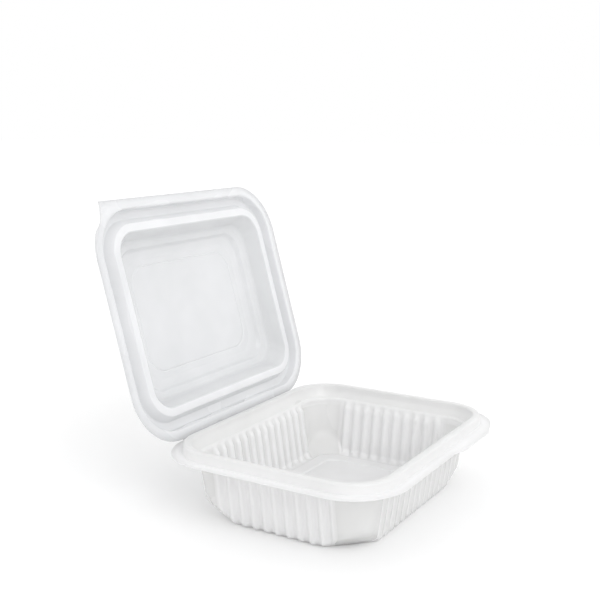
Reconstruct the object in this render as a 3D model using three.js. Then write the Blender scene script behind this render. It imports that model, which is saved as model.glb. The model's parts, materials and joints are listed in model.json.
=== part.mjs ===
// Hinged takeaway container, thermoformed from one sheet of milky polypropylene.
// A fluted tub and a domed lid share a living hinge along the back edge. The lid stands open.
// Millimetres, +Z up, X along the hinge, the opening side faces -Y.
import * as THREE from 'three';
import { mergeVertices } from 'three/addons/utils/BufferGeometryUtils.js';

// Overall sizes
const WIDTH = 150;
const DEPTH = 122;
const WALL = 0.6;
const CORNER_RADIUS = 28;
const LID_OPEN_DEG = 105.8;
const HINGE_GAP = 0.3;

// Tub: heights above the table, insets from the flange edge
const FLANGE_HEIGHT = 33;
const TUB_FLANGE_WIDTH = 5.6;
const RING_HEIGHT = 4.6;
const RING_TOP_INSET = 6.2;
const RING_TOP_WIDTH = 2.8;
const RING_SLOPE_RUN = 2.8;
const LEDGE_DROP = 1.6;
const LEDGE_WIDTH = 1.2;
const WALL_DRAFT = 4;
const FOOT_RADIUS = 4;
const STANDING_RING_WIDTH = 3;
const PANEL_RISE = 1.4;
const PANEL_SLOPE_RUN = 1.2;
const FLOOR_CORNER_RADIUS = 7;
const FLOOR_GROOVE_OFFSET = 6;
const FLOOR_GROOVE_WIDTH = 2.8;
const FLOOR_GROOVE_DEPTH = 0.7;

// Flutes pressed into the four walls between outward lobes. They run out under the ledge and
// round the foot, and keep clear of the corners.
const FLUTE_PITCH = 6.15;
const FLUTE_DEPTH = 1.7;
const FLUTE_END_SPACE = 4;
const FLUTE_TOP_FADE = 1.4;
const FLUTE_FOOT_FADE = 2.5;

// Flat cut across each bottom corner
const CORNER_CUT = 55;
const CORNER_CUT_LEAN = 1.35;

// Pull tab of the tub's flange, on the right half of its front edge
const TUB_TAB_REACH = 2.4;
const TUB_TAB_START = 4;
const TUB_TAB_LENGTH = 48;
const TUB_TAB_BLEND = 10;

// Lid: heights above its own flange, insets from the flange edge
const LID_SEAT_GAP = 0.3;
const CHANNEL_CLEARANCE = 0.6;
const CREST_CLEARANCE = 1.3;
const CREST_HEIGHT = 0.2;
const CREST_WIDTH = 4.3;
const DOME_STEP_HEIGHT = 9.5;
const DOME_WALL_RUN = 4.5;
const DOME_STEP_WIDTH = 3.2;
const DOME_HEIGHT = 14;
const PANEL_EDGE_RUN = 5;
const PANEL_BEAD_HEIGHT = 0.6;
const PANEL_BEAD_WIDTH = 1.6;
const PANEL_CORNER_RADIUS = 11;
const DOME_EDGE_BEVEL = 1.2;
const CHANNEL_WALL_RUN = 0.4;

// Square lifting tab at the left end of the lid's free edge, with a flared root
const LIP_TAB_INSET = 10;
const LIP_TAB_LENGTH = 11;
const LIP_TAB_FLARE = 2.5;
const LIP_TAB_ARC_DEG = 30;

const SHEET_OPACITY = 0.75;

// Mesh fineness
const CORNER_STEPS = 8;
const FOOT_STEPS = 4;
const WALL_STEPS = 3;
const TAB_STEPS = 2;
const POINTS_PER_FLUTE = 4;
const ANGLE_TOLERANCE = 1e-6;
const MERGE_TOLERANCE = 1e-4;

const HALF_WIDTH = WIDTH / 2;
const HALF_DEPTH = DEPTH / 2;
const STRAIGHT_X = HALF_WIDTH - CORNER_RADIUS;
const STRAIGHT_Y = HALF_DEPTH - CORNER_RADIUS;

function smoothstep(value, low, high) {
  const t = Math.min(Math.max((value - low) / (high - low), 0), 1);
  return t * t * (3 - 2 * t);
}

function flutesAlong(straight) {
  return Math.floor((2 * straight - FLUTE_END_SPACE) / FLUTE_PITCH);
}

// Stations round the outline, anticlockwise from the right side's front end. Each has its place on
// the line that the corner centres span, its outward direction and its share of a flute's depth.
function stations(fluted) {
  const sides = [
    { x: STRAIGHT_X, y: 0, turn: 0, half: STRAIGHT_Y },
    { x: 0, y: STRAIGHT_Y, turn: 90, half: STRAIGHT_X },
    { x: -STRAIGHT_X, y: 0, turn: 180, half: STRAIGHT_Y },
    { x: 0, y: -STRAIGHT_Y, turn: 270, half: STRAIGHT_X },
  ];
  const list = [];
  for (const side of sides) {
    const angle = THREE.MathUtils.degToRad(side.turn);
    const along = [-Math.sin(angle), Math.cos(angle)];
    const place = (t, wave, turned = 0) => list.push({
      x: side.x + along[0] * t,
      y: side.y + along[1] * t,
      angle: angle + turned,
      wave,
    });
    place(-side.half, 0);
    const points = fluted ? flutesAlong(side.half) * POINTS_PER_FLUTE : 0;
    const spacing = FLUTE_PITCH / POINTS_PER_FLUTE;
    for (let i = 0; i < points; i++) {
      const inGroove = i % POINTS_PER_FLUTE >= POINTS_PER_FLUTE / 2;
      place((i + 0.5 - points / 2) * spacing, inGroove ? 1 : 0);
    }
    place(side.half, 0);
    for (let i = 1; i < CORNER_STEPS; i++) {
      place(side.half, 0, (i / CORNER_STEPS) * Math.PI / 2);
    }
  }
  return list;
}

// One closed ring of points at a profile point's inset and height. A flute pushes the sheet along
// its own normal. Insets deeper than the corner radius keep a least radius round a shorter outline.
function ring(list, point, leastRadius) {
  const radius = Math.max(CORNER_RADIUS - point.inset, leastRadius);
  const shortening = radius - (CORNER_RADIUS - point.inset);
  const shareX = 1 - shortening / STRAIGHT_X;
  const shareY = 1 - shortening / STRAIGHT_Y;
  return list.map((station) => {
    const push = (point.flute ?? 0) * station.wave;
    const reach = radius - push * point.normal[0];
    return [
      station.x * shareX + Math.cos(station.angle) * reach,
      station.y * shareY + Math.sin(station.angle) * reach,
      point.z + push * point.normal[1],
    ];
  });
}

function segmentNormal(from, to) {
  const run = from.inset - to.inset;
  const rise = to.z - from.z;
  const length = Math.hypot(run, rise);
  return [rise / length, run / length];
}

// Gives each point of an underside profile, walked from the middle outwards, the mitred normal
// [inwards, up] that leads to the sheet's upper face.
function withNormals(profile) {
  const last = profile.length - 1;
  return profile.map((point, i) => {
    const inner = segmentNormal(profile[Math.max(i - 1, 0)], profile[Math.max(i, 1)]);
    const outer = segmentNormal(profile[Math.min(i, last - 1)], profile[Math.min(i + 1, last)]);
    const sum = [inner[0] + outer[0], inner[1] + outer[1]];
    const size = (sum[0] * sum[0] + sum[1] * sum[1]) / 2;
    return { ...point, normal: [sum[0] / size, sum[1] / size] };
  });
}

function upperFace(profile) {
  return profile.map((point) => ({
    ...point,
    inset: Math.max(point.inset + point.normal[0] * WALL, 0),
    z: point.z + point.normal[1] * WALL,
  }));
}

// Angles of a ring's points about the middle, rising through one whole turn.
function turnAngles(ringPoints) {
  const angles = [];
  for (const p of ringPoints) {
    let angle = Math.atan2(p[1], p[0]);
    if (angles.length > 0 && angle < angles[0] - ANGLE_TOLERANCE) {
      angle += 2 * Math.PI;
    }
    angles.push(angle);
  }
  angles.push(angles[0] + 2 * Math.PI);
  return angles;
}

// Triangles between two rings that may have different numbers of points.
function stitch(positions, lower, upper) {
  const a = turnAngles(lower);
  const b = turnAngles(upper);
  let i = 0;
  let j = 0;
  while (i < lower.length || j < upper.length) {
    const p = lower[i % lower.length];
    const q = upper[j % upper.length];
    const same = lower.length === upper.length;
    const stepLower = j >= upper.length || (i < lower.length && (same ? i <= j : a[i + 1] <= b[j + 1]));
    if (stepLower) {
      positions.push(...p, ...lower[(i + 1) % lower.length], ...q);
      i += 1;
    } else {
      positions.push(...p, ...upper[(j + 1) % upper.length], ...q);
      j += 1;
    }
  }
}

function fan(positions, ringPoints, upwards) {
  const z = ringPoints[0][2];
  ringPoints.forEach((p, i) => {
    const next = ringPoints[(i + 1) % ringPoints.length];
    const pair = upwards ? [p, next] : [next, p];
    positions.push(0, 0, z, ...pair[0], ...pair[1]);
  });
}

// A closed sheet: the rings of its lower face from the middle out, then of its upper face back in.
function closedSheet(rings) {
  const positions = [];
  fan(positions, rings[0], false);
  for (let i = 0; i + 1 < rings.length; i++) {
    stitch(positions, rings[i], rings[i + 1]);
  }
  fan(positions, rings[rings.length - 1], true);
  const soup = new THREE.BufferGeometry();
  soup.setAttribute('position', new THREE.Float32BufferAttribute(positions, 3));
  const geometry = mergeVertices(soup, MERGE_TOLERANCE);
  geometry.computeVertexNormals();
  return geometry;
}

// The bottom corners of the tub are cut off by a leaning flat, one sheet further in on top.
function cutCorner([x, y, z], thickness) {
  const limit = CORNER_CUT - thickness * Math.hypot(1, CORNER_CUT_LEAN) + z * CORNER_CUT_LEAN;
  const excess = (Math.abs(x) + Math.abs(y)) / Math.SQRT2 - limit;
  if (excess <= 0) {
    return [x, y, z];
  }
  const back = excess / Math.SQRT2;
  return [x - Math.sign(x) * back, y - Math.sign(y) * back, z];
}

// The flange's front edge widens into a pull tab.
function pullTab([x, y, z]) {
  const end = TUB_TAB_START + TUB_TAB_LENGTH;
  const rise = smoothstep(x, TUB_TAB_START, TUB_TAB_START + TUB_TAB_BLEND);
  const fall = 1 - smoothstep(x, end - TUB_TAB_BLEND, end);
  const front = smoothstep(-y, STRAIGHT_Y, HALF_DEPTH);
  return [x, y - TUB_TAB_REACH * rise * fall * front, z];
}

// Underside of the tub from the middle of its floor out to the flange edge.
function tubProfile() {
  const flangeUnderside = FLANGE_HEIGHT - WALL;
  const slopeTop = RING_TOP_INSET + RING_TOP_WIDTH;
  const ledgeOuter = slopeTop + RING_SLOPE_RUN;
  const ledge = flangeUnderside - LEDGE_DROP;
  const wallTop = ledgeOuter + LEDGE_WIDTH;
  const wallFoot = wallTop + WALL_DRAFT;
  const standing = wallFoot + FOOT_RADIUS;
  const panelEdge = standing + STANDING_RING_WIDTH + PANEL_SLOPE_RUN;
  const groove = panelEdge + FLOOR_GROOVE_OFFSET;
  const grooveEnd = groove + FLOOR_GROOVE_WIDTH;
  const profile = [
    { inset: grooveEnd, z: PANEL_RISE },
    { inset: grooveEnd - FLOOR_GROOVE_DEPTH, z: PANEL_RISE - FLOOR_GROOVE_DEPTH },
    { inset: groove + FLOOR_GROOVE_DEPTH, z: PANEL_RISE - FLOOR_GROOVE_DEPTH },
    { inset: groove, z: PANEL_RISE },
    { inset: panelEdge, z: PANEL_RISE },
    { inset: standing + STANDING_RING_WIDTH, z: 0 },
  ];
  for (let i = 0; i <= FOOT_STEPS; i++) {
    const angle = (i / FOOT_STEPS) * Math.PI / 2;
    const run = FOOT_RADIUS * Math.sin(angle);
    profile.push({
      inset: standing - run,
      z: FOOT_RADIUS * (1 - Math.cos(angle)),
      fluted: true,
      flute: FLUTE_DEPTH * smoothstep(run, 0, FLUTE_FOOT_FADE),
    });
  }
  const wallHeight = ledge - FOOT_RADIUS;
  const flutedHeight = wallHeight - FLUTE_TOP_FADE;
  for (let i = 1; i <= WALL_STEPS; i++) {
    const rise = flutedHeight * i / WALL_STEPS;
    profile.push({
      inset: wallFoot - WALL_DRAFT * rise / wallHeight,
      z: FOOT_RADIUS + rise,
      fluted: true,
      flute: FLUTE_DEPTH,
    });
  }
  profile.push(
    { inset: wallTop, z: ledge - WALL, fluted: true },
    { inset: ledgeOuter, z: ledge },
    { inset: slopeTop, z: flangeUnderside + RING_HEIGHT },
    { inset: RING_TOP_INSET, z: flangeUnderside + RING_HEIGHT },
    { inset: TUB_FLANGE_WIDTH, z: flangeUnderside },
    { inset: 0, z: flangeUnderside, flangeEdge: true },
  );
  return withNormals(profile);
}

function tubGeometry() {
  const plain = stations(false);
  const fine = stations(true);
  const toRing = (thickness) => (point) => {
    const list = point.fluted || point.flangeEdge ? fine : plain;
    const points = ring(list, point, FLOOR_CORNER_RADIUS);
    return points.map((p) => (point.flangeEdge ? pullTab(p) : cutCorner(p, thickness)));
  };
  const lower = tubProfile();
  const upper = upperFace(lower);
  return closedSheet([...lower.map(toRing(0)), ...upper.map(toRing(WALL)).reverse()]);
}

// Underside of the closed lid, from the middle of its top panel out to the flange edge.
function lidProfile() {
  const channelOuter = TUB_FLANGE_WIDTH - CHANNEL_CLEARANCE;
  const channelTop = RING_HEIGHT + CHANNEL_CLEARANCE;
  const channelInner = RING_TOP_INSET + RING_TOP_WIDTH + CHANNEL_CLEARANCE;
  const slopeShare = RING_HEIGHT / (RING_HEIGHT + LEDGE_DROP);
  const slopeFoot = RING_TOP_INSET + RING_TOP_WIDTH + RING_SLOPE_RUN * slopeShare;
  const crestOuter = slopeFoot + CREST_CLEARANCE;
  const crestInner = crestOuter + CREST_WIDTH;
  const step = crestInner + DOME_WALL_RUN;
  const bevelRun = DOME_WALL_RUN * DOME_EDGE_BEVEL / DOME_STEP_HEIGHT;
  const stepInner = step + DOME_STEP_WIDTH;
  const panel = stepInner + PANEL_EDGE_RUN;
  return withNormals([
    { inset: panel + PANEL_BEAD_WIDTH, z: DOME_HEIGHT },
    { inset: panel + PANEL_BEAD_WIDTH / 2, z: DOME_HEIGHT + PANEL_BEAD_HEIGHT },
    { inset: panel, z: DOME_HEIGHT },
    { inset: stepInner + DOME_EDGE_BEVEL, z: DOME_HEIGHT - DOME_EDGE_BEVEL },
    { inset: stepInner, z: DOME_STEP_HEIGHT + DOME_EDGE_BEVEL },
    { inset: step + DOME_EDGE_BEVEL, z: DOME_STEP_HEIGHT },
    { inset: step - bevelRun, z: DOME_STEP_HEIGHT - DOME_EDGE_BEVEL },
    { inset: crestInner, z: CREST_HEIGHT },
    { inset: crestOuter, z: CREST_HEIGHT },
    { inset: channelInner, z: channelTop },
    { inset: channelOuter + CHANNEL_WALL_RUN, z: channelTop },
    { inset: channelOuter, z: 0 },
    { inset: 0, z: 0, flangeEdge: true },
  ]);
}

// The lid's edge: its front left corner is squared out into the lifting tab.
function lipEdge(list, point) {
  const tabStart = THREE.MathUtils.degToRad(180 + LIP_TAB_ARC_DEG);
  const frontSide = THREE.MathUtils.degToRad(270) - ANGLE_TOLERANCE;
  const before = list.filter((station) => station.angle <= tabStart);
  const after = list.filter((station) => station.angle >= frontSide);
  const tab = [];
  for (let i = TAB_STEPS; i >= 0; i--) {
    const share = i / TAB_STEPS;
    tab.push([
      -HALF_WIDTH + LIP_TAB_INSET - LIP_TAB_FLARE * share * share,
      -HALF_DEPTH + LIP_TAB_LENGTH * share,
      point.z,
    ]);
  }
  return [
    ...ring(before, point, PANEL_CORNER_RADIUS),
    ...tab,
    ...ring(after, point, PANEL_CORNER_RADIUS),
  ];
}

function lidGeometry() {
  const list = stations(false);
  const toRing = (point) => (
    point.flangeEdge ? lipEdge(list, point) : ring(list, point, PANEL_CORNER_RADIUS)
  );
  const lower = lidProfile();
  const upper = upperFace(lower);
  return closedSheet([...lower.map(toRing), ...upper.map(toRing).reverse()]);
}

function polypropylene(color, roughness) {
  return new THREE.MeshStandardMaterial({
    color,
    roughness,
    metalness: 0,
    transparent: true,
    opacity: SHEET_OPACITY,
  });
}

const assembly = new THREE.Group();

const tub = new THREE.Mesh(tubGeometry(), polypropylene(0xe6e6e4, 0.35));
tub.name = 'tub';
assembly.add(tub);

// The lid turns about the crease, half the seat gap above the tub's flange.
const hinge = new THREE.Group();
hinge.position.set(0, HALF_DEPTH + HINGE_GAP / 2, FLANGE_HEIGHT + LID_SEAT_GAP / 2);
hinge.rotation.x = -THREE.MathUtils.degToRad(LID_OPEN_DEG);
assembly.add(hinge);

const lid = new THREE.Mesh(lidGeometry(), polypropylene(0xe3e6e8, 0.3));
lid.name = 'lid';
lid.position.set(0, -HALF_DEPTH - HINGE_GAP / 2, LID_SEAT_GAP / 2);
hinge.add(lid);

// The origin is on the table, under the middle of the open container.
const box = new THREE.Box3().setFromObject(assembly, true);
assembly.position.set(-(box.min.x + box.max.x) / 2, -(box.min.y + box.max.y) / 2, -box.min.z);

const container = new THREE.Group();
container.add(assembly);

export default container;
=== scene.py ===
"""Hinged takeaway container in milky polypropylene: fine surfaces, materials, light and camera."""
import json
import math

import bpy
import numpy as np
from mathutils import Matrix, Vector


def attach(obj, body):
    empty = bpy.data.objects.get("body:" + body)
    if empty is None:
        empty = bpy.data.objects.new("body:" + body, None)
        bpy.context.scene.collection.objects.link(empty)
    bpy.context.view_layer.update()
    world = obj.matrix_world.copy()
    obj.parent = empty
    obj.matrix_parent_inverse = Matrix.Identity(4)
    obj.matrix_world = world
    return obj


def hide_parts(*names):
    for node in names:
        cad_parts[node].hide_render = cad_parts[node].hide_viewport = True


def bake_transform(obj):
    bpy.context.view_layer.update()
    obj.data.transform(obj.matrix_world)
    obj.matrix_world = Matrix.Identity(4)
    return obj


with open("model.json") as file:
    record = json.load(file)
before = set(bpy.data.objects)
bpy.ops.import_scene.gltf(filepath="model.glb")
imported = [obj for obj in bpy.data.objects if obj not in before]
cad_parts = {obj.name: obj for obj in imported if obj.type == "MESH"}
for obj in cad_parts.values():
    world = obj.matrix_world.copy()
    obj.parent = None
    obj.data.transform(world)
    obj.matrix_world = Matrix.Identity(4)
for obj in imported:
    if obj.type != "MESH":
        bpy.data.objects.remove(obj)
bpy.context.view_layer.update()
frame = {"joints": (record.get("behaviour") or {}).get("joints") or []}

MM = 0.001

# Camera: place from the tub's middle on the table, in millimetres
CAMERA_PLACE = (-406.8, -225.9, 189.7)
CAMERA_TURN_DEG = -58.6
CAMERA_TILT_DEG = 10.7
CAMERA_LENS = 57.95
CAMERA_SENSOR = 36.0

# Light, floor and white surround
SURROUND_LIGHT = 1.0
SURROUND_SEEN = 1.0
LAMP_LIGHT = 0.7
LAMP_SPREAD_DEG = 35
LAMP_FROM = Vector((-0.55, -1.0, 0.9))
FLOOR_REACH = 6.0
FLOOR_DROP = 0.0002
FLOOR_PAINT = (0.97, 0.97, 0.97, 1)

# Sheet and outline, in millimetres
WIDTH = 150.0
DEPTH = 122.0
WALL = 0.6
CORNER_RADIUS = 28.0
HINGE_GAP = 0.3
LID_OPEN_DEG = 105.8

# Tub: heights above the table, insets from the flange edge
FLANGE_HEIGHT = 33.0
RING_HEIGHT = 4.6
RING_FOOT_INSET = 5.6
RING_OUTER_INSET = 6.2
RING_INNER_INSET = 9.0
LEDGE_DROP = 1.6
LEDGE_INSET = 11.8
WALL_TOP_INSET = 13.0
WALL_FOOT_INSET = 17.0
FOOT_RADIUS = 4.0
STANDING_WIDTH = 3.0
PANEL_STEP_WIDTH = 1.2
PANEL_RISE = 1.4
GROOVE_OFFSET = 6.0
GROOVE_WIDTH = 2.8
GROOVE_DEPTH = 0.7
TUB_MIDDLE_INSET = 48.0
FLOOR_CORNER_RADIUS = 7.0

# Tub: fillets of the pressed edges, and the flat kept beside a small one
GROOVE_EDGE_FILLET = 0.6
GROOVE_BOTTOM_FILLET = 1.1
PANEL_FILLET = 0.8
LEDGE_FILLET = 1.2
RING_INNER_FILLET = 0.8
RING_OUTER_FILLET = 0.6
FLANGE_FILLET = 1.0
FLAT_BESIDE_FILLET = 1.2

# Flutes pressed into the walls, between outward lobes
FLUTE_PITCH = 6.15
FLUTE_DEPTH = 1.7
FLUTE_END_SPACE = 4.0
FLUTE_TOP_FADE = 3.4
FLUTE_FOOT_FADE = 2.5
FLUTE_SQUARENESS = 2.0

# Flat cut across each bottom corner
CORNER_CUT = 55.0
CORNER_CUT_LEAN = 1.35
CORNER_CUT_SOFTNESS = 0.3
CORNER_CUT_SPREAD = 6
CORNER_CUT_TOP_SPACE = 4.0

# Pull tab on the tub and lifting tab on the lid
TUB_TAB_REACH = 2.4
TUB_TAB_START = 4.0
TUB_TAB_LENGTH = 48.0
TUB_TAB_BLEND = 10.0
LIP_TAB_INSET = 10.0
LIP_TAB_LENGTH = 11.0
LIP_TAB_FLARE = 2.5
LIP_TAB_ARC_DEG = 30.0

# Lid: heights above its own flange, insets from its flange edge
LID_SEAT_GAP = 0.3
CHANNEL_HEIGHT = 5.2
CREST_HEIGHT = 0.2
DOME_STEP_HEIGHT = 9.5
DOME_HEIGHT = 14.0
PANEL_LINE_HEIGHT = 0.35
PANEL_CORNER_RADIUS = 11.0

# Underside of the lid from the panel's middle out to the flange edge: inset, height, fillet radius
LID_SECTION = [
    # panel, with a fine raised line
    (43.0, DOME_HEIGHT, 0),
    (35.2, DOME_HEIGHT, 0),
    (34.0, DOME_HEIGHT, 1.2),
    (33.4, DOME_HEIGHT + PANEL_LINE_HEIGHT, 0.4),
    (32.8, DOME_HEIGHT, 1.2),
    (31.4, DOME_HEIGHT, 0),
    # dome, falling over one step
    (29.8, DOME_HEIGHT, 1.6),
    (25.6, DOME_HEIGHT - 1.2, 2.0),
    (24.2, DOME_STEP_HEIGHT + 1.0, 1.2),
    (22.0, DOME_STEP_HEIGHT, 1.0),
    (20.2, DOME_STEP_HEIGHT - 1.6, 1.6),
    # crest
    (16.6, CREST_HEIGHT, 1.0),
    (12.4, CREST_HEIGHT, 0.8),
    # channel over the tub's ring
    (9.6, CHANNEL_HEIGHT, 0.9),
    (5.4, CHANNEL_HEIGHT, 0.7),
    # flange
    (5.0, 0.0, 1.0),
    (0.0, 0.0, 0),
]

# Sheet left after drawing, 0 thin to 1 full, against the inset from the flange edge. These tones
# also carry painted light and shade: the tub's floor is made whiter as painted light in its hollow.
TUB_MILKINESS_AND_SHADE = {
    0: 1.0, 5.6: 0.9, 6.2: 0.5, 7.5: 0.75, 9: 0.3, 11.8: 0.2, 13: 0.4, 21: 0.5, 26: 0.8,
}
# On the lid the crest (12.6 to 16) is made whiter as a painted highlight, the dome wall past it (17
# to 20) clearer and darker as painted shade, and the channel's slope beside the crest (10 to 11.4)
# darker as painted shade.
LID_MILKINESS_AND_SHADE = {
    0: 0.7, 5: 0.75, 5.4: 0.65, 9.4: 0.65, 10: 0.4, 11.4: 0.35, 12.6: 0.9, 16: 0.95,
    17: 0.1, 20: 0.0, 22: 0.3, 26: 0.4, 31: 0.5,
}
# The same on the tub's walls: on a lobe and on a rib, and at the plain corners. On the long walls
# the low lobe value is painted shade in the grooves and the full rib value painted highlight on the
# ribs; the end walls carry a softer painted contrast.
LONG_WALL_FLUTE_TONE_AND_SHADE = (0.15, 1.0)
END_WALL_FLUTE_TONE_AND_SHADE = (0.72, 0.86)
CORNER_THICKNESS = 0.1

# Crease between the flanges
WEB_THICKNESS = 0.3
WEB_BEND = 0.4

# Looks of the two sheets, from thin to full. The lid's colours are a darker copy of the same
# polypropylene as the tub: painted shade on the upright lid.
TUB_LOOK = {
    "thin": (0.79, 0.79, 0.785), "thick": (0.94, 0.94, 0.945),
    "alpha": (0.62, 0.78), "roughness": (0.26, 0.36), "cloud_scale": 35.0,
}
LID_SHADED_LOOK = {
    "thin": (0.65, 0.66, 0.675), "thick": (0.89, 0.895, 0.91),
    "alpha": (0.55, 0.74), "roughness": (0.2, 0.3), "cloud_scale": 30.0,
}
POLYPROPYLENE_IOR = 1.49
CLOUD_STRENGTH = 0.12
GRAIN_SCALE = 900.0
GRAIN_HEIGHT = 0.0004
GRAIN_STRENGTH = 0.06

# Fineness of the meshes
CORNER_STEPS = 20
SIDE_STEPS = 6
FLUTE_STEPS = 9
FILLET_STEPS = 4
FILLET_ROOM = 0.48  # the most of an edge that one fillet takes
FOOT_STEPS = 7
WALL_STEPS = 10
TOP_STEPS = 4
LIP_TAB_STEPS = 12
WEB_STEPS = 6

HALF_WIDTH = WIDTH / 2
HALF_DEPTH = DEPTH / 2
STRAIGHT_X = HALF_WIDTH - CORNER_RADIUS
STRAIGHT_Y = HALF_DEPTH - CORNER_RADIUS

HINGE = Vector(frame["joints"][0]["pos_m"]) / MM
TUB_MIDDLE_Y = HINGE.y - HALF_DEPTH - HINGE_GAP / 2


def make_camera():
    """The photograph's camera: near, a little above the lid's middle, the object low and left."""
    x, y, z = CAMERA_PLACE
    turn = math.radians(CAMERA_TURN_DEG)
    tilt = math.radians(CAMERA_TILT_DEG)
    back = Vector((
        math.sin(turn) * math.cos(tilt),
        -math.cos(turn) * math.cos(tilt),
        math.sin(tilt),
    ))
    data = bpy.data.cameras.new("camera")
    data.sensor_width = CAMERA_SENSOR
    data.lens = CAMERA_LENS
    camera = bpy.data.objects.new("camera", data)
    camera.rotation_euler = back.to_track_quat("Z", "Y").to_euler()
    camera.location = Vector((x, TUB_MIDDLE_Y + y, z)) * MM
    bpy.context.scene.collection.objects.link(camera)
    bpy.context.scene.camera = camera


def smoothstep(value, low, high):
    share = np.clip((value - low) / (high - low), 0, 1)
    return share * share * (3 - 2 * share)


def filleted(corners):
    """A section's corners (inset, height, fillet radius) as points, with each fillet an arc."""
    points = []
    for index, (inset, height, radius) in enumerate(corners):
        corner = np.array([inset, height], float)
        if radius == 0 or index in (0, len(corners) - 1):
            points.append(corner)
            continue
        before = np.array(corners[index - 1][:2], float) - corner
        after = np.array(corners[index + 1][:2], float) - corner
        room = FILLET_ROOM * min(np.linalg.norm(before), np.linalg.norm(after))
        before /= np.linalg.norm(before)
        after /= np.linalg.norm(after)
        half_angle = math.acos(np.clip(before @ after, -1, 1)) / 2
        reach = min(radius / math.tan(half_angle), room)
        start = corner + before * reach
        end = corner + after * reach
        for step in range(FILLET_STEPS + 1):
            t = step / FILLET_STEPS
            points.append((1 - t) ** 2 * start + 2 * t * (1 - t) * corner + t * t * end)
    return np.array(points)


def sheet_normals(points):
    """Normals of a section walked from the middle outwards: they point to the upper, inner side."""
    ahead = np.diff(points, axis=0)
    ahead /= np.linalg.norm(ahead, axis=1)[:, None]
    normals = np.stack([ahead[:, 1], -ahead[:, 0]], 1)
    first = np.vstack([normals[:1], normals])
    second = np.vstack([normals, normals[-1:]])
    total = first + second
    return total / ((total ** 2).sum(1) / 2)[:, None]


def flute_wave(distance):
    """Height of the flutes at a distance along the wall: 0 on a lobe, 1 on a rib."""
    phase = distance / FLUTE_PITCH * 2 * math.pi
    rise = math.tanh(FLUTE_SQUARENESS * -math.cos(phase)) / math.tanh(FLUTE_SQUARENESS)
    return (1 + rise) / 2


class Outline:
    """Stations round the rim, each with a base point, an outward direction and a flute height."""

    def __init__(self, fluted, least_radius):
        self.least_radius = least_radius
        base, outward, wave, wall_tone_and_shade = [], [], [], []
        sides = [
            ((STRAIGHT_X, 0), 0, STRAIGHT_Y, END_WALL_FLUTE_TONE_AND_SHADE),
            ((0, STRAIGHT_Y), 90, STRAIGHT_X, LONG_WALL_FLUTE_TONE_AND_SHADE),
            ((-STRAIGHT_X, 0), 180, STRAIGHT_Y, END_WALL_FLUTE_TONE_AND_SHADE),
            ((0, -STRAIGHT_Y), 270, STRAIGHT_X, LONG_WALL_FLUTE_TONE_AND_SHADE),
        ]
        for middle, turn, half, (lobe_tone_and_shade, rib_tone_and_highlight) in sides:
            angle = math.radians(turn)
            along = np.array([-math.sin(angle), math.cos(angle)])
            flutes = math.floor((2 * half - FLUTE_END_SPACE) / FLUTE_PITCH)
            run = flutes * FLUTE_PITCH / 2
            if fluted:
                inner = np.linspace(-run, run, flutes * FLUTE_STEPS + 1)
                places = np.concatenate([[-half], inner, [half]])
            else:
                places = np.linspace(-half, half, SIDE_STEPS)
            for place in places:
                on_flutes = fluted and abs(place) <= run
                height = flute_wave(place + run) if on_flutes else 0.0
                # Painted shade in the grooves and painted highlight on the ribs, mixed with the
                # sheet's own tone
                tone_and_shade = lobe_tone_and_shade + (rib_tone_and_highlight - lobe_tone_and_shade) * height
                base.append(np.array(middle) + along * place)
                outward.append((math.cos(angle), math.sin(angle)))
                wave.append(height)
                wall_tone_and_shade.append(tone_and_shade if on_flutes else CORNER_THICKNESS)
            for step in range(1, CORNER_STEPS):
                corner_angle = angle + step / CORNER_STEPS * math.pi / 2
                base.append(np.array(middle) + along * half)
                outward.append((math.cos(corner_angle), math.sin(corner_angle)))
                wave.append(0.0)
                wall_tone_and_shade.append(CORNER_THICKNESS)
        self.base = np.array(base)
        self.outward = np.array(outward)
        self.wave = np.array(wave)
        self.wall_tone_and_shade = np.array(wall_tone_and_shade)

    def ring(self, inset, height, normal=(0, 0), flute=0.0):
        """Points of one ring. A flute moves the sheet along its own normal, inwards and up."""
        push = self.wave * flute
        radius = max(CORNER_RADIUS - inset, self.least_radius)
        extra = radius - (CORNER_RADIUS - inset)
        shrink = np.array([1 - extra / STRAIGHT_X, 1 - extra / STRAIGHT_Y])
        plan = self.base * shrink + self.outward * (radius - normal[0] * push)[:, None]
        return np.column_stack([plan, height + normal[1] * push])

    def thickness(self, curve, inset, share=0.0):
        """Tone of a ring's points, from the sheet left after drawing mixed with painted light and
        shade. The share is how far it lies on the wall.
        """
        plain = np.interp(inset, list(curve), list(curve.values()))
        return plain + (self.wall_tone_and_shade - plain) * share


def sheet_mesh(name, rings, thickness, finish):
    """A closed sheet from rings with equal counts, from the lower middle out and back above."""
    count = len(rings[0])
    vertices = np.concatenate(rings)
    faces = []
    for level in range(len(rings) - 1):
        start = level * count
        for i in range(count):
            after = (i + 1) % count
            faces.append((start + i, start + after, start + count + after, start + count + i))
    lower_middle = len(vertices)
    upper_middle = lower_middle + 1
    vertices = np.vstack([vertices, [[0, 0, rings[0][0][2]]], [[0, 0, rings[-1][0][2]]]])
    last = (len(rings) - 1) * count
    for i in range(count):
        after = (i + 1) % count
        faces.append((lower_middle, after, i))
        faces.append((upper_middle, last + i, last + after))
    mesh = bpy.data.meshes.new(name)
    mesh.from_pydata((finish(vertices) * MM).tolist(), [], faces)
    tone_and_shade = np.concatenate(thickness + [thickness[0][:1], thickness[-1][:1]])
    # Per-point tone: the sheet's own milky whiteness with painted shade and painted highlight mixed
    # in
    tone_and_shade_attribute = mesh.attributes.new("thickness", "FLOAT", "POINT")
    tone_and_shade_attribute.data.foreach_set("value", tone_and_shade.astype(np.float32))
    mesh.shade_smooth()
    piece = bpy.data.objects.new(name, mesh)
    bpy.context.scene.collection.objects.link(piece)
    return piece


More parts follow.
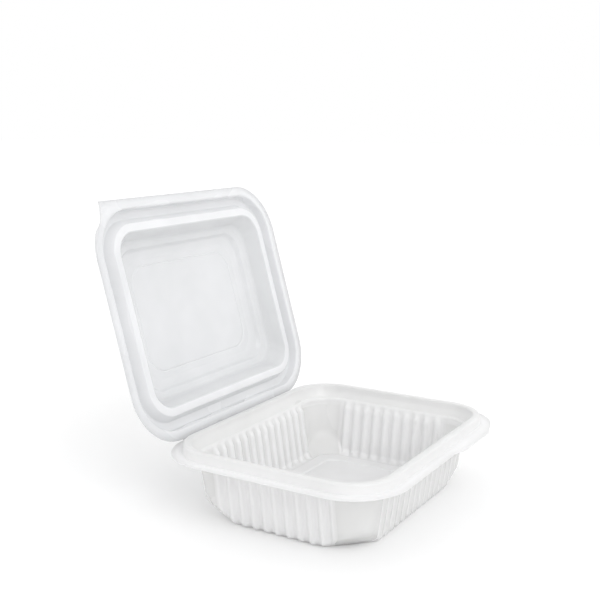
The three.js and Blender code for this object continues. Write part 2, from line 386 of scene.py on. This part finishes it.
def cut_corners(points, lift):
    """Cuts the tub's bottom corners off with a leaning flat whose edges are slightly rounded."""
    limit = CORNER_CUT - lift * math.hypot(1, CORNER_CUT_LEAN) + points[:, 2] * CORNER_CUT_LEAN
    excess = (np.abs(points[:, 0]) + np.abs(points[:, 1])) / math.sqrt(2) - limit
    back = CORNER_CUT_SOFTNESS * np.logaddexp(0, excess / CORNER_CUT_SOFTNESS) / math.sqrt(2)
    back = np.where(excess > -CORNER_CUT_SPREAD * CORNER_CUT_SOFTNESS, back, 0)
    moved = points.copy()
    moved[:, 0] -= np.sign(points[:, 0]) * back
    moved[:, 1] -= np.sign(points[:, 1]) * back
    return moved


def pull_tab(points):
    """Widens the right half of the flange's front edge."""
    end = TUB_TAB_START + TUB_TAB_LENGTH
    rise = smoothstep(points[:, 0], TUB_TAB_START, TUB_TAB_START + TUB_TAB_BLEND)
    fall = 1 - smoothstep(points[:, 0], end - TUB_TAB_BLEND, end)
    front = smoothstep(-points[:, 1], STRAIGHT_Y, HALF_DEPTH)
    moved = points.copy()
    moved[:, 1] -= TUB_TAB_REACH * rise * fall * front
    return moved


def tub_section():
    """Underside of the tub, from its floor's middle out to the flange edge."""
    flange = FLANGE_HEIGHT - WALL
    ledge = flange - LEDGE_DROP
    ring_top = flange + RING_HEIGHT
    standing = WALL_FOOT_INSET + FOOT_RADIUS
    panel_edge = standing + STANDING_WIDTH + PANEL_STEP_WIDTH
    groove = panel_edge + GROOVE_OFFSET
    groove_end = groove + GROOVE_WIDTH
    groove_bottom = PANEL_RISE - GROOVE_DEPTH
    corners = [
        (TUB_MIDDLE_INSET, PANEL_RISE, 0),
        (groove_end + FLAT_BESIDE_FILLET, PANEL_RISE, 0),
        (groove_end, PANEL_RISE, GROOVE_EDGE_FILLET),
        (groove_end - GROOVE_DEPTH, groove_bottom, GROOVE_BOTTOM_FILLET),
        (groove + GROOVE_DEPTH, groove_bottom, GROOVE_BOTTOM_FILLET),
        (groove, PANEL_RISE, GROOVE_EDGE_FILLET),
        (groove - FLAT_BESIDE_FILLET, PANEL_RISE, 0),
        (panel_edge + FLAT_BESIDE_FILLET, PANEL_RISE, 0),
        (panel_edge, PANEL_RISE, PANEL_FILLET),
        (standing + STANDING_WIDTH, 0.0, PANEL_FILLET),
    ]
    for step in range(FOOT_STEPS + 1):
        angle = step / FOOT_STEPS * math.pi / 2
        inset = standing - FOOT_RADIUS * math.sin(angle)
        corners.append((inset, FOOT_RADIUS * (1 - math.cos(angle)), 0))
    height = ledge - FOOT_RADIUS
    draft = (WALL_FOOT_INSET - WALL_TOP_INSET) / height
    fluted_height = height - WALL - FLUTE_TOP_FADE
    rises = list(np.linspace(0, fluted_height, WALL_STEPS + 1)[1:])
    rises += list(np.linspace(fluted_height, height - WALL, TOP_STEPS + 1)[1:])
    for rise in rises:
        corners.append((WALL_FOOT_INSET - draft * rise, FOOT_RADIUS + rise, 0))
    corners += [
        (LEDGE_INSET, ledge, LEDGE_FILLET),
        (RING_INNER_INSET, ring_top, RING_INNER_FILLET),
        (RING_OUTER_INSET, ring_top, RING_OUTER_FILLET),
        (RING_FOOT_INSET, flange, FLANGE_FILLET),
        (0.0, flange, 0),
    ]
    return filleted(corners)


def flute_share(points):
    """How much of the flutes' depth each point has: all of it on the wall, none beyond."""
    ledge = FLANGE_HEIGHT - WALL - LEDGE_DROP
    top = np.clip((ledge - WALL - points[:, 1]) / FLUTE_TOP_FADE, 0, 1)
    foot = smoothstep(WALL_FOOT_INSET + FOOT_RADIUS - points[:, 0], 0.0, FLUTE_FOOT_FADE)
    return top * foot


def make_tub():
    outline = Outline(fluted=True, least_radius=FLOOR_CORNER_RADIUS)
    lower = tub_section()
    normals = sheet_normals(lower)
    upper = lower + normals * WALL
    upper[-1, 0] = 0.0
    shares = flute_share(lower)
    cut_top = FLANGE_HEIGHT - CORNER_CUT_TOP_SPACE
    sides = []
    for side, lift in ((lower, 0.0), (upper, WALL)):
        loop = []
        for (inset, height), normal, share in zip(side, normals, shares):
            ring = outline.ring(inset, height, normal, share * FLUTE_DEPTH)
            loop.append(cut_corners(ring, lift) if height < cut_top else ring)
        loop[-1] = pull_tab(loop[-1])
        sides.append(loop)
    below, above = sides
    tone_and_shade = [outline.thickness(TUB_MILKINESS_AND_SHADE, inset, share)
             for inset, share in zip(lower[:, 0], shares)]
    tub = sheet_mesh("tub_shell", below + above[::-1], tone_and_shade + tone_and_shade[::-1],
                     lambda points: points + [0, TUB_MIDDLE_Y, 0])
    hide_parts("tub")
    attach(tub, "tub")
    return tub


def lip_tab(points):
    """Squares the left end of the lid's free edge into a lifting tab with a flared root."""
    arc = math.radians(LIP_TAB_ARC_DEG)
    share = np.linspace(1, 0, LIP_TAB_STEPS)
    root = (
        -STRAIGHT_X - CORNER_RADIUS * math.cos(arc),
        -STRAIGHT_Y - CORNER_RADIUS * math.sin(arc),
    )
    route = np.column_stack([
        -HALF_WIDTH + LIP_TAB_INSET - LIP_TAB_FLARE * share ** 2,
        -HALF_DEPTH + LIP_TAB_LENGTH * share,
    ])
    route = np.vstack([root, route, (-STRAIGHT_X, -HALF_DEPTH)])
    length = np.concatenate([[0], np.cumsum(np.linalg.norm(np.diff(route, axis=0), axis=1))])
    corner = length[-2]
    away = points[:, :2] + [STRAIGHT_X, STRAIGHT_Y]
    angle = np.arctan2(-away[:, 1], -away[:, 0])
    inside = np.where((angle > arc) & (angle < math.pi / 2 - 1e-6) & (away[:, 0] < 0))[0]
    walk = (angle[inside] - arc) / (math.pi / 2 - arc) * length[-1]
    walk[np.abs(walk - corner).argmin()] = corner
    moved = points.copy()
    moved[inside, 0] = np.interp(walk, length, route[:, 0])
    moved[inside, 1] = np.interp(walk, length, route[:, 1])
    return moved


def open_lid(points):
    """Places the closed lid over the tub and turns it open about the crease."""
    y = points[:, 1] - HALF_DEPTH - HINGE_GAP / 2
    z = points[:, 2] + LID_SEAT_GAP / 2
    turn = -math.radians(LID_OPEN_DEG)
    return np.column_stack([
        points[:, 0],
        HINGE.y + y * math.cos(turn) - z * math.sin(turn),
        HINGE.z + y * math.sin(turn) + z * math.cos(turn),
    ])


def make_lid():
    outline = Outline(fluted=False, least_radius=PANEL_CORNER_RADIUS)
    lower = filleted(LID_SECTION)
    upper = lower + sheet_normals(lower) * WALL
    upper[-1, 0] = 0.0
    below = [outline.ring(inset, height) for inset, height in lower]
    above = [outline.ring(inset, height) for inset, height in upper]
    below[-1] = lip_tab(below[-1])
    above[-1] = lip_tab(above[-1])
    tone_and_shade = [outline.thickness(LID_MILKINESS_AND_SHADE, inset) for inset in lower[:, 0]]
    lid = sheet_mesh("lid_shell", below + above[::-1], tone_and_shade + tone_and_shade[::-1], open_lid)
    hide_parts("lid")
    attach(lid, "lid")
    return lid


def make_hinge_web(material):
    """The crease that joins the two flanges: a thin strip bent to the lid's set opening."""
    turn = -math.radians(LID_OPEN_DEG)
    y, z = -HINGE_GAP / 2, (LID_SEAT_GAP + WALL) / 2
    start = np.array([y, -z])
    end = np.array([
        y * math.cos(turn) - z * math.sin(turn),
        y * math.sin(turn) + z * math.cos(turn),
    ])
    bend = start + [WEB_BEND, 0]
    share = np.linspace(0, 1, WEB_STEPS + 1)[:, None]
    middle = (1 - share) ** 2 * start + 2 * share * (1 - share) * bend + share ** 2 * end
    ahead = np.gradient(middle, axis=0)
    ahead /= np.linalg.norm(ahead, axis=1)[:, None]
    across = np.column_stack([-ahead[:, 1], ahead[:, 0]]) * WEB_THICKNESS / 2
    loop = np.vstack([middle + across, (middle - across)[::-1]])
    count = len(loop)
    vertices = [(x, HINGE.y + y, HINGE.z + z) for x in (-STRAIGHT_X, STRAIGHT_X) for y, z in loop]
    faces = [(i, (i + 1) % count, count + (i + 1) % count, count + i) for i in range(count)]
    faces += [tuple(range(count))[::-1], tuple(range(count, 2 * count))]
    mesh = bpy.data.meshes.new("hinge_web")
    mesh.from_pydata((np.array(vertices) * MM).tolist(), [], faces)
    web = bpy.data.objects.new("hinge_web", mesh)
    bpy.context.scene.collection.objects.link(web)
    mesh.materials.append(material)
    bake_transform(web)


def node(tree, kind, **inputs):
    """A shader node with its named inputs set."""
    made = tree.nodes.new(kind)
    for name, value in inputs.items():
        made.inputs[name.replace("_", " ")].default_value = value
    return made


def milkiness_and_shade_group():
    """Tone of the sheet: the stored tone, which mixes the sheet's own milky whiteness with painted
    shade and painted highlight, plus a slow cloudiness; and a fine normal.
    """
    group = bpy.data.node_groups.new("milkiness_and_shade_nodes", "ShaderNodeTree")
    add_socket = group.interface.new_socket
    add_socket("Cloud Scale", in_out="INPUT", socket_type="NodeSocketFloat")
    add_socket("Milkiness and Shade", in_out="OUTPUT", socket_type="NodeSocketFloat")
    add_socket("Normal", in_out="OUTPUT", socket_type="NodeSocketVector")
    source = group.nodes.new("NodeGroupInput")
    out = group.nodes.new("NodeGroupOutput")
    place = group.nodes.new("ShaderNodeTexCoord")
    sheet = group.nodes.new("ShaderNodeAttribute")
    sheet.attribute_name = "thickness"
    cloud = node(group, "ShaderNodeTexNoise", Detail=2.0, Roughness=0.5)
    spread = node(group, "ShaderNodeMapRange", From_Min=0.3, From_Max=0.7,
                  To_Min=-CLOUD_STRENGTH, To_Max=CLOUD_STRENGTH)
    total = group.nodes.new("ShaderNodeMath")
    total.operation = "ADD"
    total.use_clamp = True
    grain = node(group, "ShaderNodeTexNoise", Scale=GRAIN_SCALE, Detail=2.0)
    bump = node(group, "ShaderNodeBump", Strength=GRAIN_STRENGTH, Distance=GRAIN_HEIGHT)
    link = group.links.new
    link(place.outputs["Object"], cloud.inputs["Vector"])
    link(source.outputs["Cloud Scale"], cloud.inputs["Scale"])
    link(cloud.outputs["Fac"], spread.inputs["Value"])
    link(spread.outputs["Result"], total.inputs[0])
    link(sheet.outputs["Fac"], total.inputs[1])
    link(place.outputs["Object"], grain.inputs["Vector"])
    link(grain.outputs["Fac"], bump.inputs["Height"])
    link(total.outputs["Value"], out.inputs["Milkiness and Shade"])
    link(bump.outputs["Normal"], out.inputs["Normal"])
    return group


def polypropylene(name, group, thin, thick, alpha, roughness, cloud_scale):
    """Milky polypropylene: clearer and greyer where the tone is low, whiter where it is high. A low
    tone stands for thinned sheet and for painted shade, a high one for full sheet and for painted
    highlight.
    """
    material = bpy.data.materials.new(name)
    material.use_nodes = True
    tree = material.node_tree
    shader = tree.nodes["Principled BSDF"]
    shader.inputs["IOR"].default_value = POLYPROPYLENE_IOR
    sheet = tree.nodes.new("ShaderNodeGroup")
    sheet.node_tree = group
    sheet.inputs["Cloud Scale"].default_value = cloud_scale
    tint = tree.nodes.new("ShaderNodeMix")
    tint.data_type = "RGBA"
    tint.inputs["A"].default_value = (*thin, 1)
    tint.inputs["B"].default_value = (*thick, 1)
    cover = node(tree, "ShaderNodeMapRange", To_Min=alpha[0], To_Max=alpha[1])
    gloss = node(tree, "ShaderNodeMapRange", To_Min=roughness[0], To_Max=roughness[1])
    link = tree.links.new
    # The tint carries the tone's painted shade and painted highlight into the colour
    link(sheet.outputs["Milkiness and Shade"], tint.inputs["Factor"])
    link(sheet.outputs["Milkiness and Shade"], cover.inputs["Value"])
    link(sheet.outputs["Milkiness and Shade"], gloss.inputs["Value"])
    link(tint.outputs["Result"], shader.inputs["Base Color"])
    link(cover.outputs["Result"], shader.inputs["Alpha"])
    link(gloss.outputs["Result"], shader.inputs["Roughness"])
    link(sheet.outputs["Normal"], shader.inputs["Normal"])
    return material


def make_floor():
    """A pale matt floor that keeps the object's soft shadow."""
    reach = FLOOR_REACH
    mesh = bpy.data.meshes.new("floor")
    corners = [(-reach, -reach, 0), (reach, -reach, 0), (reach, reach, 0), (-reach, reach, 0)]
    mesh.from_pydata(corners, [], [(0, 1, 2, 3)])
    floor = bpy.data.objects.new("floor", mesh)
    floor.location.z = -FLOOR_DROP
    bpy.context.scene.collection.objects.link(floor)
    paint = bpy.data.materials.new("white_floor")
    paint.use_nodes = True
    shader = paint.node_tree.nodes["Principled BSDF"]
    shader.inputs["Base Color"].default_value = FLOOR_PAINT
    shader.inputs["Roughness"].default_value = 0.9
    shader.inputs["Specular IOR Level"].default_value = 0.0
    mesh.materials.append(paint)


def make_light():
    """A white surround for what the camera sees and what lights the object, and one broad lamp."""
    world = bpy.data.worlds.new("surround")
    bpy.context.scene.world = world
    world.use_nodes = True
    tree = world.node_tree
    background = tree.nodes["Background"]
    background.inputs["Color"].default_value = (1, 1, 1, 1)
    path = tree.nodes.new("ShaderNodeLightPath")
    direct = tree.nodes.new("ShaderNodeMath")
    direct.operation = "MAXIMUM"
    seen = tree.nodes.new("ShaderNodeMath")
    seen.operation = "MAXIMUM"
    level = node(tree, "ShaderNodeMapRange", To_Min=SURROUND_LIGHT, To_Max=SURROUND_SEEN)
    link = tree.links.new
    link(path.outputs["Is Camera Ray"], direct.inputs[0])
    link(path.outputs["Is Glossy Ray"], direct.inputs[1])
    link(direct.outputs[0], seen.inputs[0])
    link(path.outputs["Is Transmission Ray"], seen.inputs[1])
    link(seen.outputs[0], level.inputs["Value"])
    link(level.outputs["Result"], background.inputs["Strength"])
    lamp = bpy.data.lights.new("broad_lamp", "SUN")
    lamp.energy = LAMP_LIGHT
    lamp.angle = math.radians(LAMP_SPREAD_DEG)
    holder = bpy.data.objects.new("broad_lamp", lamp)
    holder.rotation_euler = LAMP_FROM.to_track_quat("Z", "Y").to_euler()
    bpy.context.scene.collection.objects.link(holder)


bpy.context.scene.view_settings.view_transform = "Standard"
make_camera()
make_floor()
make_light()
tub_shell = make_tub()
lid_shell = make_lid()
milky = milkiness_and_shade_group()
tub_plastic = polypropylene("tub_polypropylene", milky, **TUB_LOOK)
# The lid's darker copy of the polypropylene is painted shade
lid_plastic = polypropylene("lid_polypropylene", milky, **LID_SHADED_LOOK)
tub_shell.data.materials.append(tub_plastic)
lid_shell.data.materials.append(lid_plastic)
make_hinge_web(tub_plastic)
